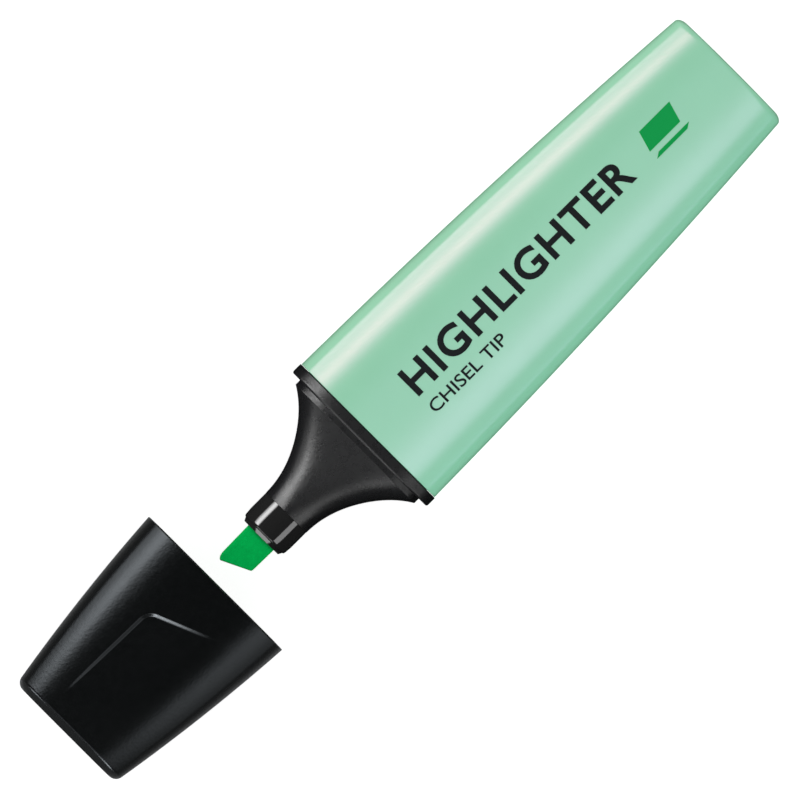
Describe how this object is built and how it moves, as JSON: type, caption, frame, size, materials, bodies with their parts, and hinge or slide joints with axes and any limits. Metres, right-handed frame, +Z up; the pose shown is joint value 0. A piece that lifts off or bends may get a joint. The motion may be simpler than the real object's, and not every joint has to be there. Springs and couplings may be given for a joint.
{
  "type": "highlighter",
  "caption": "Wide flat highlighter with a tapered shell barrel, a trumpet-shaped grip section, a chisel felt nib and a lift-off cap with an inner sealing liner.",
  "frame": {"origin": "on the surface the pen lies on, under the middle of its bounding box with the cap off and lying in line in front of the nib", "axes": "+X along the pen's axis from the nib to the closed tail, +Z up out of a wide face, +Y across the pen's width"},
  "size_m": [0.134, 0.027, 0.017],
  "materials": {
    "barrel_plastic": "satin pastel mint",
    "section_plastic": "fine-grained matte black",
    "nozzle_plastic": "polished black",
    "felt": "ink-soaked bonded felt",
    "ink_fibre": "ink-soaked fibre",
    "film": "thin film",
    "cap_plastic": "satin black",
    "liner_plastic": "smooth black"
  },
  "bodies": {
    "barrel": {"barrel": "barrel_plastic", "front_section": "section_plastic", "nozzle": "nozzle_plastic", "nib": "felt", "reservoir_core": "ink_fibre", "reservoir_wrap": "film"},
    "cap": {"cap": "cap_plastic", "cap_liner": "liner_plastic"}
  },
  "joints": [
    {"name": "cap_pull", "type": "slide", "parent": "barrel", "child": "cap", "axis": [-1, 0, 0], "range_m": [-0.0288, 0.02]}
  ]
}
